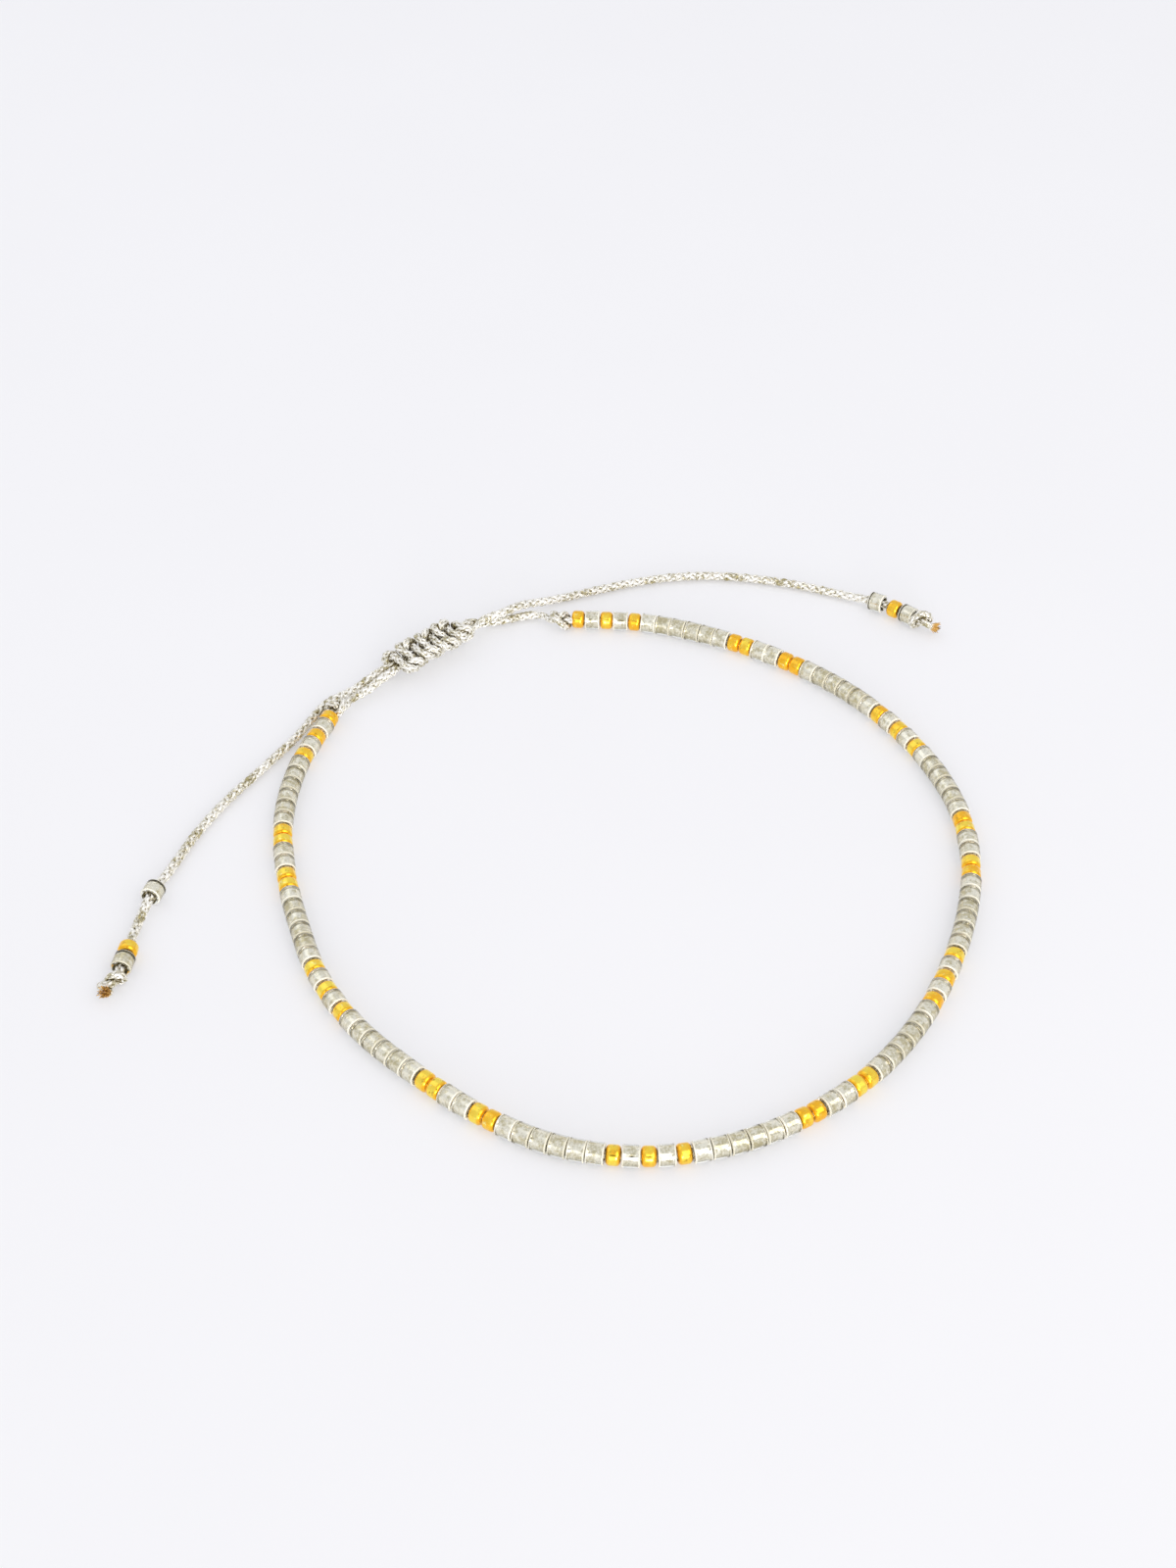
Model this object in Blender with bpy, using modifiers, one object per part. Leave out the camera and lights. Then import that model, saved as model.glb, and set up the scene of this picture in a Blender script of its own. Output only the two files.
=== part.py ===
# Adjustable bracelet: one row of seed beads closed by a sliding knot of metallic cord, lying flat.
# Metres, +Z up. The origin is on the surface, under the middle of the ring of beads.

import math
from bisect import bisect_right

import bmesh
import bpy
from mathutils import Matrix, Vector
from mathutils.geometry import interpolate_bezier

MM = 0.001

# Beads
SILVER_DIAMETER = 1.6 * MM
SILVER_LENGTH = 1.24 * MM
SILVER_CHAMFER = 0.08 * MM
GOLD_DIAMETER = 1.5 * MM
GOLD_LENGTH = 1.05 * MM
GOLD_CROWN = 0.62  # share of a gold bead's length that stands at its full diameter
BEAD_SPACING = 0.07 * MM  # between one bead and the next on the row
GROOVE_DIAMETER = 1.0 * MM  # of the row between two beads
ROW_SIDES = 10
LOOSE_BEAD_SIDES = 12

# The row's pattern: G is a gold bead and S a silver one
ACCENT = "GSGSG"
FILL = "SSSSSSGGSSGGSSSSSS"
ACCENT_COUNT = 6

# Cord and knots
CORD_DIAMETER = 0.8 * MM
CORD_BEVEL_RESOLUTION = 2
CORD_STEP = 2.5  # cord diameters between two points of a tube
PAIR_GAP = 0.1 * MM  # between the two cords inside the sliding knot
BORE_CLEARANCE = 0.15 * MM  # round a cord inside a bead or the sliding knot
SEAT_GAP = 0.3 * MM  # between pieces that meet end to end
SURFACE_GAP = 0.03 * MM  # under a cord that lies on the surface
END_KNOT_DIAMETER = 1.3 * MM
END_KNOT_LENGTH = 1.7 * MM
TAIL_KNOT_DIAMETER = 1.6 * MM
TAIL_KNOT_LENGTH = 1.7 * MM
TAIL_TIP_LENGTH = 1.1 * MM
KNOT_SIDES = 12

# Sliding knot: square knots tied one after another over the pair of cords
SLIDER_LENGTH = 9.3 * MM
SLIDER_WIDTH = 3.3 * MM
SLIDER_THICKNESS = 2.45 * MM
SLIDER_WAIST = 2.8 * MM  # width between two of its square knots
SLIDER_KNOTS = 4
SLIDER_SIDES = 16
SLIDER_CENTRE = (-16.25, 24.46)  # in the plan of the routes, millimetres
SLIDER_TURN = math.radians(41.4)

# Routes in plan, millimetres. They keep these proportions and are fitted to the row's real length.
ROW_ROUTE = [
    (-24.12, 15.82),
    (-26.05, 10.21),
    (-26.71, 4.28),
    (-26.05, -1.62),
    (-24.55, -7.39),
    (-22.50, -12.97),
    (-19.25, -17.94),
    (-15.00, -22.10),
    (-10.31, -25.77),
    (-5.02, -28.47),
    (0.83, -29.43),
    (6.69, -28.49),
    (12.11, -26.04),
    (16.85, -22.46),
    (20.64, -17.88),
    (23.48, -12.65),
    (25.53, -7.06),
    (26.62, -1.21),
    (26.40, 4.73),
    (24.68, 10.42),
    (21.77, 15.60),
    (17.89, 20.11),
    (13.17, 23.73),
    (7.91, 26.51),
    (2.26, 28.37),
    (-3.66, 28.90),
]

# The third column is how far the cord's underside is lifted off the surface
LEFT_CLOSURE_ROUTE = [
    (-22.00, 18.78, 0.28),
    (-21.40, 19.31, 0.34),
    (-20.78, 19.81, 0.50),
    (-20.15, 20.34, 0.72),
]
RIGHT_TAIL_ROUTE = [
    (-11.72, 27.91, 1.12),
    (-10.80, 28.41, 1.16),
    (-9.89, 29.04, 1.10),
    (-8.91, 29.88, 0.97),
    (-7.82, 30.80, 0.56),
    (-6.58, 31.58, 0.18),
    (-5.24, 32.21, 0.00),
    (-2.62, 33.16, 0.00),
    (0.00, 34.08, 0.00),
    (2.67, 34.84, 0.00),
    (5.32, 35.29, 0.00),
    (7.97, 35.41, 0.00),
    (10.61, 35.18, 0.00),
    (13.22, 34.70, 0.00),
    (15.82, 34.01, 0.00),
    (18.38, 33.08, 0.02),
    (20.35, 32.18, 0.16),
    (21.50, 31.58, 0.35),
    (22.38, 31.08, 0.42),
    (23.79, 30.16, 0.40),
    (24.92, 29.32, 0.42),
    (25.52, 28.78, 0.42),
]
RIGHT_CLOSURE_ROUTE = [
    (-7.10, 29.76, 0.12),
    (-7.90, 29.82, 0.03),
    (-8.95, 29.56, 0.02),
    (-10.18, 29.14, 0.04),
    (-11.25, 28.80, 0.10),
    (-12.20, 28.38, 0.32),
]
LEFT_TAIL_ROUTE = [
    (-20.70, 21.16, 0.60),
    (-21.40, 20.56, 0.35),
    (-22.10, 20.02, 0.15),
    (-22.90, 19.48, 0.02),
    (-23.75, 18.88, 0.00),
    (-24.55, 18.08, 0.00),
    (-25.22, 16.91, 0.00),
    (-25.88, 15.46, 0.00),
    (-26.65, 13.96, 0.00),
    (-27.92, 11.86, 0.00),
    (-29.55, 9.36, 0.00),
    (-31.13, 6.99, 0.00),
    (-32.50, 4.54, 0.00),
    (-33.62, 2.16, 0.00),
    (-34.40, 0.06, 0.02),
    (-35.05, -1.77, 0.10),
    (-35.52, -3.14, 0.30),
    (-35.92, -4.36, 0.42),
    (-36.18, -5.39, 0.38),
    (-36.50, -6.64, 0.18),
    (-36.73, -7.79, 0.14),
    (-36.86, -9.04, 0.26),
    (-36.93, -10.24, 0.40),
    (-37.08, -11.39, 0.42),
    (-37.22, -12.14, 0.42),
]

# Loose beads on each tail, from its knot inwards: kind and bare cord before it, millimetres
LEFT_TAIL_BEADS = [("silver", 0.30), ("gold", 0.20), ("silver", 5.00)]
RIGHT_TAIL_BEADS = [("silver", 0.30), ("gold", 0.25), ("silver", 0.45)]


class Route:
    """A smooth curve through chosen points, read by the distance along it."""

    def __init__(self, points):
        self.points = smooth_points(points)
        self.reach = [0.0]
        for near, far in zip(self.points, self.points[1:]):
            self.reach.append(self.reach[-1] + (far - near).length)
        self.length = self.reach[-1]

    def place(self, distance):
        i = min(max(bisect_right(self.reach, distance) - 1, 0), len(self.points) - 2)
        share = (distance - self.reach[i]) / (self.reach[i + 1] - self.reach[i])
        return self.points[i].lerp(self.points[i + 1], share)

    def direction(self, distance):
        step = 0.1 * MM
        return (self.place(distance + step) - self.place(distance - step)).normalized()

    def between(self, start, end, step):
        """Evenly spaced points from one distance along the route to another."""
        count = max(2, round((end - start) / step) + 1)
        return [self.place(start + (end - start) * i / (count - 1)) for i in range(count)]


def smooth_points(points, samples=12):
    """Bezier spans through the points, each handle a third of its own span."""
    chords = [(far - near).length for near, far in zip(points, points[1:])]
    tangents = []
    for i in range(len(points)):
        before = (points[i] - points[i - 1]) if i > 0 else Vector()
        after = (points[i + 1] - points[i]) if i < len(chords) else Vector()
        if before.length and after.length:
            before = before * (after.length / before.length)
            after = after * (chords[i - 1] / after.length)
        tangents.append((before + after).normalized())
    smooth = [points[0]]
    for i, chord in enumerate(chords):
        near_handle = points[i] + tangents[i] * chord / 3
        far_handle = points[i + 1] - tangents[i + 1] * chord / 3
        span = interpolate_bezier(points[i], near_handle, far_handle, points[i + 1], samples + 1)
        smooth.extend(span[1:])
    return smooth


def clear_scene():
    for old in list(bpy.data.objects):
        bpy.data.objects.remove(old, do_unlink=True)


def new_collection(name):
    collection = bpy.data.collections.get(name) or bpy.data.collections.new(name)
    if name not in bpy.context.scene.collection.children:
        bpy.context.scene.collection.children.link(collection)
    return collection


def new_material(name, colour, roughness, metallic):
    material = bpy.data.materials.new(name)
    material.use_nodes = True
    shader = material.node_tree.nodes["Principled BSDF"]
    shader.inputs["Base Color"].default_value = (*colour, 1.0)
    shader.inputs["Roughness"].default_value = roughness
    shader.inputs["Metallic"].default_value = metallic
    return material


def tube(name, points, radii, bevel_resolution, material, collection):
    """A round tube through the points, with a radius at each of them and filled caps."""
    curve = bpy.data.curves.new(name, "CURVE")
    curve.dimensions = "3D"
    curve.twist_mode = "Z_UP"
    curve.bevel_depth = 1.0
    curve.bevel_resolution = bevel_resolution
    curve.use_fill_caps = True
    spline = curve.splines.new("POLY")
    spline.points.add(len(points) - 1)
    for knot, point, radius in zip(spline.points, points, radii):
        knot.co = (*point, 1.0)
        knot.radius = radius
    spline.use_smooth = True
    curve.materials.append(material)
    piece = bpy.data.objects.new(name, curve)
    collection.objects.link(piece)
    return piece


def turned(name, profile, sides, material, collection, closed=False):
    """A profile of (radius, height) points turned about the Z axis."""
    mesh = bpy.data.meshes.new(name)
    edges = [(i, i + 1) for i in range(len(profile) - 1)]
    if closed:
        edges.append((len(profile) - 1, 0))
    mesh.from_pydata([(radius, 0.0, height) for radius, height in profile], edges, [])
    mesh.materials.append(material)
    piece = bpy.data.objects.new(name, mesh)
    collection.objects.link(piece)
    screw = piece.modifiers.new("Turn", "SCREW")
    screw.steps = sides
    screw.render_steps = sides
    screw.use_merge_vertices = True
    screw.merge_threshold = 0.00001
    screw.use_smooth_shade = True
    return piece


def aim(piece, place, direction):
    """Sets the piece's Z axis along the direction, with its X axis level."""
    across = direction.cross(Vector((0, 0, 1))).normalized()
    raised = across.cross(direction).normalized()
    turn = Matrix((across, -raised, direction)).transposed()
    piece.rotation_euler = turn.to_euler()
    piece.location = place


def bead_size(letter):
    return (GOLD_DIAMETER, GOLD_LENGTH) if letter == "G" else (SILVER_DIAMETER, SILVER_LENGTH)


def row_places(letters):
    """The distance of each bead's middle along the row, from the first bead's middle."""
    places = [0.0]
    for near, far in zip(letters, letters[1:]):
        places.append(places[-1] + (bead_size(near)[1] + bead_size(far)[1]) / 2 + BEAD_SPACING)
    return places


def row_sections(letters, places):
    """Sections (distance, radius, letter) along part of the row: two rims a bead and the grooves."""
    sections = []
    for letter, place in zip(letters, places):
        diameter, length = bead_size(letter)
        half_crown = GOLD_CROWN * length / 2 if letter == "G" else length / 2 - SILVER_CHAMFER
        sections.append((place - half_crown, diameter / 2, letter))
        sections.append((place + half_crown, diameter / 2, letter))
        sections.append((place + (length + BEAD_SPACING) / 2, GROOVE_DIAMETER / 2, letter))
    start = places[0] - bead_size(letters[0])[1] / 2
    end = places[-1] + bead_size(letters[-1])[1] / 2
    first = (start, GROOVE_DIAMETER / 2, letters[0])
    last = (end, GROOVE_DIAMETER / 2, letters[-1])
    return [first] + sections[:-1] + [last]


def bead_row(name, letters, places, route, materials, collection):
    """Part of the row as one closed body, with a flat of each bead on the surface."""
    sections = row_sections(letters, places)
    points = [route.place(distance) for distance, radius, letter in sections]
    radii = [radius for distance, radius, letter in sections]
    resolution = ROW_SIDES // 2 - 2
    guide = tube(name, points, radii, resolution, materials["silver"], collection)
    bpy.context.view_layer.update()
    mesh = bpy.data.meshes.new_from_object(guide.evaluated_get(bpy.context.evaluated_depsgraph_get()))
    bpy.data.objects.remove(guide)
    weld(mesh)
    mesh.materials.append(materials["gold"])
    paint_gold(mesh, points, sections)
    piece = bpy.data.objects.new(name, mesh)
    collection.objects.link(piece)
    return piece


def weld(mesh):
    body = bmesh.new()
    body.from_mesh(mesh)
    bmesh.ops.remove_doubles(body, verts=body.verts, dist=0.00001)
    body.to_mesh(mesh)
    body.free()


def paint_gold(mesh, points, sections):
    """Gives each face the material of the bead that it belongs to."""
    middles = [(near + far) / 2 for near, far in zip(points, points[1:])]
    letters = [far[2] if near[1] < far[1] else near[2] for near, far in zip(sections, sections[1:])]
    for face in mesh.polygons:
        distances = [(face.center - middle).length for middle in middles]
        nearest = distances.index(min(distances))
        face.material_index = 1 if letters[nearest] == "G" else 0


def loose_bead(name, kind, material, collection):
    """A single bead about its own bore, which clears the cord."""
    diameter, length = bead_size("G" if kind == "gold" else "S")
    rim = diameter / 2
    half = length / 2
    bore = CORD_DIAMETER / 2 + BORE_CLEARANCE
    lip = (rim + bore) / 2
    crown = GOLD_CROWN * half if kind == "gold" else half - SILVER_CHAMFER
    shoulder = lip if kind == "gold" else rim - SILVER_CHAMFER
    outside = [(shoulder, half), (rim, crown), (rim, -crown), (shoulder, -half)]
    inside = [(bore, -half), (bore, half)]
    return turned(name, outside + inside, LOOSE_BEAD_SIDES, material, collection, closed=True)


def knot(name, diameter, length, tip, material, collection):
    """A pulled-tight overhand knot: two turns of cord side by side, with a cut end or none."""
    half = length / 2
    bulge = diameter / 2
    waist = bulge - CORD_DIAMETER / 8
    profile = [
        (0.0, half),
        (CORD_DIAMETER / 2, half),
        (bulge * 0.9, half * 0.72),
        (bulge, half * 0.42),
        (waist, 0.0),
        (bulge, -half * 0.42),
        (bulge * 0.9, -half * 0.72),
        (CORD_DIAMETER / 2, -half),
    ]
    if tip:
        profile.append((CORD_DIAMETER * 0.4, -half - tip * 0.3))
        profile.append((CORD_DIAMETER / 2, -half - tip))
    profile.append((0.0, profile[-1][1]))
    return turned(name, profile, KNOT_SIDES, material, collection)


def sliding_knot(name, material, collection):
    """The sleeve of square knots, flatter than it is wide, with the bore that holds both cords."""
    pitch = SLIDER_LENGTH / SLIDER_KNOTS
    wide = SLIDER_WIDTH / 2
    waist = SLIDER_WAIST / 2
    bore = CORD_DIAMETER + PAIR_GAP / 2 + BORE_CLEARANCE
    mouth = (bore + waist) / 2
    outside = [(mouth, SLIDER_LENGTH / 2)]
    for i in range(SLIDER_KNOTS):
        top = SLIDER_LENGTH / 2 - i * pitch
        outside.append((wide, top - pitch * 0.3))
        outside.append((wide, top - pitch * 0.7))
        outside.append((waist, top - pitch))
    outside[-1] = (mouth, -SLIDER_LENGTH / 2)
    inside = [(bore, -SLIDER_LENGTH / 2), (bore, SLIDER_LENGTH / 2)]
    piece = turned(name, outside + inside, SLIDER_SIDES, material, collection, closed=True)
    piece.scale.y = SLIDER_THICKNESS / SLIDER_WIDTH
    return piece


def fitted(points, scale):
    """Route points in metres, at the height of the cord's middle."""
    middle = Vector((0.0, 0.0, CORD_DIAMETER / 2 + SURFACE_GAP))
    return [Vector((x * scale, y * scale, lift)) * MM + middle for x, y, lift in points]


def slider_frame(scale):
    """The sliding knot's middle, its direction and the direction across it, away from the wrist."""
    middle = Vector((SLIDER_CENTRE[0] * scale * MM, SLIDER_CENTRE[1] * scale * MM, SLIDER_THICKNESS / 2))
    along = Vector((math.cos(SLIDER_TURN), math.sin(SLIDER_TURN), 0.0))
    return middle, along, Vector((-along.y, along.x, 0.0))


def slider_lane(side, scale):
    """A cord's straight way through the sliding knot, on its inner (-1) or outer (+1) side."""
    middle, along, outwards = slider_frame(scale)
    lane = middle + outwards * side * (CORD_DIAMETER + PAIR_GAP) / 2
    return [lane + along * SLIDER_LENGTH * share for share in (-0.5, -0.3, 0.3, 0.5)]


def cord(name, held, lane, free, tail, beads, materials, collection):
    """One cord: held from its end knot through the sliding knot, then free to its tail knot."""
    route = Route(held + lane + free)
    hold = Route(held + lane).length
    step = CORD_STEP * CORD_DIAMETER
    bevel = CORD_BEVEL_RESOLUTION
    held_points = route.between(0.0, hold, step)
    free_points = route.between(hold + SEAT_GAP, route.length - SEAT_GAP, step)
    for part, points in (("closure_cord_", held_points), ("tail_cord_", free_points)):
        side = name if part == "closure_cord_" else tail
        radii = [CORD_DIAMETER / 2] * len(points)
        tube(part + side, points, radii, bevel, materials["cord"], collection)
    reach = route.length
    for i, (kind, bare) in enumerate(beads):
        length = bead_size("G" if kind == "gold" else "S")[1]
        reach -= bare * MM + length / 2
        bead = loose_bead(f"tail_bead_{tail}_{i + 1}", kind, materials[kind], collection)
        aim(bead, route.place(reach), route.direction(reach))
        reach -= length / 2
    end = knot(f"tail_knot_{tail}", TAIL_KNOT_DIAMETER, TAIL_KNOT_LENGTH, TAIL_TIP_LENGTH,
               materials["cord"], collection)
    heading = route.direction(route.length)
    place = route.place(route.length) + heading * TAIL_KNOT_LENGTH / 2
    aim(end, place, -heading)
    return route


def end_knot(name, row_end, outwards, cord_route, materials, collection):
    """The knot that stops the row's last bead. Returns the route of the cord that leaves it."""
    piece = knot(name, END_KNOT_DIAMETER, END_KNOT_LENGTH, 0.0, materials["cord"], collection)
    middle = row_end + outwards * (SEAT_GAP + END_KNOT_LENGTH / 2)
    heading = (cord_route[0] - middle).normalized()
    aim(piece, middle, heading)
    return [middle + heading * (END_KNOT_LENGTH / 2 + SEAT_GAP)] + cord_route


def build():
    clear_scene()
    collection = new_collection("beaded_bracelet")
    materials = {
        "silver": new_material("silver_lined_glass", (0.80, 0.80, 0.72), 0.22, 0.9),
        "gold": new_material("gold_lined_glass", (1.0, 0.52, 0.04), 0.25, 0.9),
        "cord": new_material("metallic_braid", (0.82, 0.78, 0.68), 0.45, 0.7),
    }

    letters = FILL.join([ACCENT] * ACCENT_COUNT)
    places = row_places(letters)
    plan = Route([Vector((x * MM, y * MM, 0.0)) for x, y in ROW_ROUTE])
    scale = places[-1] / plan.length
    height = SILVER_DIAMETER / 2 * math.cos(math.pi / ROW_SIDES)
    row = Route([Vector((x * MM * scale, y * MM * scale, height)) for x, y in ROW_ROUTE])

    half = len(letters) // 2
    middle_gap = SEAT_GAP - BEAD_SPACING
    left_places = places[:half]
    right_places = places[half:]
    left_places[-1] -= middle_gap / 2
    right_places[0] += middle_gap / 2
    bead_row("bead_string_left", letters[:half], left_places, row, materials, collection)
    bead_row("bead_string_right", letters[half:], right_places, row, materials, collection)

    first = row.place(0.0) - row.direction(0.0) * bead_size(letters[0])[1] / 2
    last = row.place(row.length) + row.direction(row.length) * bead_size(letters[-1])[1] / 2
    left_closure = end_knot("end_knot_left", first, -row.direction(0.0),
                            fitted(LEFT_CLOSURE_ROUTE, scale), materials, collection)
    right_closure = end_knot("end_knot_right", last, row.direction(row.length),
                             fitted(RIGHT_CLOSURE_ROUTE, scale), materials, collection)

    slider = sliding_knot("sliding_knot", materials["cord"], collection)
    middle, along, outwards = slider_frame(scale)
    aim(slider, middle, along)

    inner = slider_lane(-1, scale)
    outer = slider_lane(1, scale)[::-1]
    cord("left", left_closure, inner, fitted(RIGHT_TAIL_ROUTE, scale), "right",
         RIGHT_TAIL_BEADS, materials, collection)
    cord("right", right_closure, outer, fitted(LEFT_TAIL_ROUTE, scale), "left",
         LEFT_TAIL_BEADS, materials, collection)


build()
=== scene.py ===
import math
import random

import bpy
import numpy as np
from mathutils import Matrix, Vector
from mathutils.geometry import interpolate_bezier


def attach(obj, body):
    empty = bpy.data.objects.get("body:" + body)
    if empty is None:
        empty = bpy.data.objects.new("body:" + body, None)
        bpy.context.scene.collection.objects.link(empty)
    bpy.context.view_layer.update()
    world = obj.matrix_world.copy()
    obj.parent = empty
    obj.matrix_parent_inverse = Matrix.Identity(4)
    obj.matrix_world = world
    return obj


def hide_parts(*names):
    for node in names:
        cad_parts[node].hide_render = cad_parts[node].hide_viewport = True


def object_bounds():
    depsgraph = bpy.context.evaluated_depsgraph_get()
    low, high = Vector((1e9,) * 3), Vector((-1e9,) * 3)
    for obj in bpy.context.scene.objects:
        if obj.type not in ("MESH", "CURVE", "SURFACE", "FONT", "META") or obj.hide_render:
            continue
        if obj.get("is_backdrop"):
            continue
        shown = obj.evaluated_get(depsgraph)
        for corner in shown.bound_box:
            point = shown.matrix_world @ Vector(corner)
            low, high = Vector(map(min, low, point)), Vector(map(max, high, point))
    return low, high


# Seed bead bracelet with a sliding knot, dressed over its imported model. Metres, +Z up.

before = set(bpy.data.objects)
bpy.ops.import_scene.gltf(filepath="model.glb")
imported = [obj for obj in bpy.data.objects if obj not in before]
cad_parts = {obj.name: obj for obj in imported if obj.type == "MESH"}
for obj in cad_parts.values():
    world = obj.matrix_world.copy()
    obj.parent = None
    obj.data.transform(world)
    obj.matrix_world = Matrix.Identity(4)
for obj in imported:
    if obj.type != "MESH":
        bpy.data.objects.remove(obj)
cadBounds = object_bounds()
mm = 0.001
random.seed(7)
print("bracelet: frame loaded,", len(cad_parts), "nodes")


def linked(name, data):
    # an object made from its data, in the scene
    made = bpy.data.objects.new(name, data)
    bpy.context.scene.collection.objects.link(made)
    return made


# Camera

cameraSet = {
    "target": (-2.825, 8.005, 0.76),  # mm, the point in the middle of the picture
    "distance": 190.8,                # mm from that point
    "rise": 42.75,                    # degrees above the surface
    "lens": 54.97,
    "clip": (0.005, 20.0),            # metres, the nearest and furthest that it sees
}


def makeCamera(wanted):
    lens = bpy.data.cameras.new("photoCamera")
    lens.lens = wanted["lens"]
    lens.clip_start, lens.clip_end = wanted["clip"]
    camera = linked("photoCamera", lens)
    rise = math.radians(wanted["rise"])
    back = Vector((0.0, -math.cos(rise), math.sin(rise)))
    camera.location = (Vector(wanted["target"]) + back * wanted["distance"]) * mm
    camera.rotation_euler = (math.pi / 2 - rise, 0.0, 0.0)
    bpy.context.scene.camera = camera


makeCamera(cameraSet)


# Shader maths

class Wire:
    # wraps a socket, so that shader maths reads as ordinary sums
    def __init__(self, shade, socket):
        self.shade = shade
        self.socket = socket

    def sum(self, kind, *values):
        return self.shade.node("ShaderNodeMath", {"operation": kind}, dict(enumerate(values)))

    def __add__(self, other):
        return self.sum("ADD", self, other)

    def __radd__(self, other):
        return self.sum("ADD", other, self)

    def __sub__(self, other):
        return self.sum("SUBTRACT", self, other)

    def __rsub__(self, other):
        return self.sum("SUBTRACT", other, self)

    def __mul__(self, other):
        return self.sum("MULTIPLY", self, other)

    def __rmul__(self, other):
        return self.sum("MULTIPLY", other, self)


class Shade:
    # the nodes of a new material, or of the world: node() adds one and hands back a wire from its output
    def __init__(self, name, tree=None):
        if tree is None:
            self.material = bpy.data.materials.new(name)
            self.material.use_nodes = True
            tree = self.material.node_tree
            self.surface = tree.nodes["Principled BSDF"]
        self.tree = tree

    def link(self, node, values):
        for key, value in values.items():
            if isinstance(value, Wire):
                self.tree.links.new(value.socket, node.inputs[key])
            else:
                node.inputs[key].default_value = value

    def node(self, kind, settings=None, values=None, out=0):
        node = self.tree.nodes.new(kind)
        for key, value in (settings or {}).items():
            setattr(node, key, value)
        self.link(node, values or {})
        return Wire(self, node.outputs[out])

    def set(self, **values):
        self.link(self.surface, {key.replace("_", " "): value for key, value in values.items()})
        return self.material

    def blend(self, factor, first, second):
        # from the first colour, at 0, to the second
        first, second = (c if isinstance(c, Wire) else (*c, 1.0) for c in (first, second))
        values = {0: factor, 6: first, 7: second}
        return self.node("ShaderNodeMix", {"data_type": "RGBA"}, values, out=2)

    def smooth(self, value, low, high, toLow=0.0, toHigh=1.0):
        values = {0: value, 1: low, 2: high, 3: toLow, 4: toHigh}
        return self.node("ShaderNodeMapRange", {"interpolation_type": "SMOOTHSTEP"}, values)

    def noise(self, vector, scale, detail=2.0, rough=0.5):
        values = {"Vector": vector, "Scale": scale, "Detail": detail, "Roughness": rough}
        return self.node("ShaderNodeTexNoise", {}, values)

    def toward(self, vector, direction):
        # cosine of the angle between a unit vector and a fixed direction
        values = {0: vector, 1: tuple(Vector(direction).normalized())}
        return self.node("ShaderNodeVectorMath", {"operation": "DOT_PRODUCT"}, values, out=1)

    def bump(self, height, strength, distance):
        values = {"Height": height, "Strength": strength, "Distance": distance}
        return self.node("ShaderNodeBump", {}, values)

    def paintedCreaseShade(self, reach, low, high):
        # 0 deep in a crease, 1 in the open: the mask for painted shade in creases
        clear = self.node("ShaderNodeAmbientOcclusion", {"samples": 4}, {"Distance": reach}, out=1)
        return self.smooth(clear, low, high)

    def tone(self):
        # each yarn's or bead's own value, 0 to 1
        return self.node("ShaderNodeAttribute", {"attribute_name": "tone"}, out=2)

    def place(self):
        return self.node("ShaderNodeTexCoord", out=3)

    def wrap(self, axis):
        # the way round a strand or bead (0), or along it (1)
        corner = self.node("ShaderNodeUVMap", {"uv_map": "wrap"})
        return self.node("ShaderNodeSeparateXYZ", {}, {0: corner}, axis)


# Routes, in millimetres, as the cords and the row lie on the surface

rowRoute = [
    (-24.12, 15.82), (-26.05, 10.21), (-26.71, 4.28), (-26.05, -1.62), (-24.55, -7.39),
    (-22.50, -12.97), (-19.25, -17.94), (-15.00, -22.10), (-10.31, -25.77), (-5.02, -28.47),
    (0.83, -29.43), (6.69, -28.49), (12.11, -26.04), (16.85, -22.46), (20.64, -17.88),
    (23.48, -12.65), (25.53, -7.06), (26.62, -1.21), (26.40, 4.73), (24.68, 10.42),
    (21.77, 15.60), (17.89, 20.11), (13.17, 23.73), (7.91, 26.51), (2.26, 28.37), (-3.66, 28.90),
]

# Third column: how far the cord's underside is off the surface
leftClosureRoute = [
    (-22.00, 18.78, 0.28), (-21.40, 19.31, 0.34), (-20.78, 19.81, 0.50), (-20.15, 20.34, 0.72),
]
rightTailRoute = [
    (-11.72, 27.91, 1.12), (-10.80, 28.41, 1.16), (-9.89, 29.04, 1.10), (-8.91, 29.88, 0.97),
    (-7.82, 30.80, 0.56), (-6.58, 31.58, 0.18), (-5.24, 32.21, 0.0), (-2.62, 33.16, 0.0),
    (0.00, 34.08, 0.0), (2.67, 34.84, 0.0), (5.32, 35.29, 0.0), (7.97, 35.41, 0.0),
    (10.61, 35.18, 0.0), (13.22, 34.70, 0.0), (15.82, 34.01, 0.0), (18.38, 33.08, 0.02),
    (20.35, 32.18, 0.16), (21.50, 31.58, 0.35), (22.38, 31.08, 0.42), (23.79, 30.16, 0.40),
    (24.92, 29.32, 0.42), (25.52, 28.78, 0.42),
]
rightClosureRoute = [
    (-7.10, 29.76, 0.12), (-7.90, 29.82, 0.03), (-8.95, 29.56, 0.02), (-10.18, 29.14, 0.04),
    (-11.25, 28.80, 0.10), (-12.20, 28.38, 0.32),
]
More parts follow.
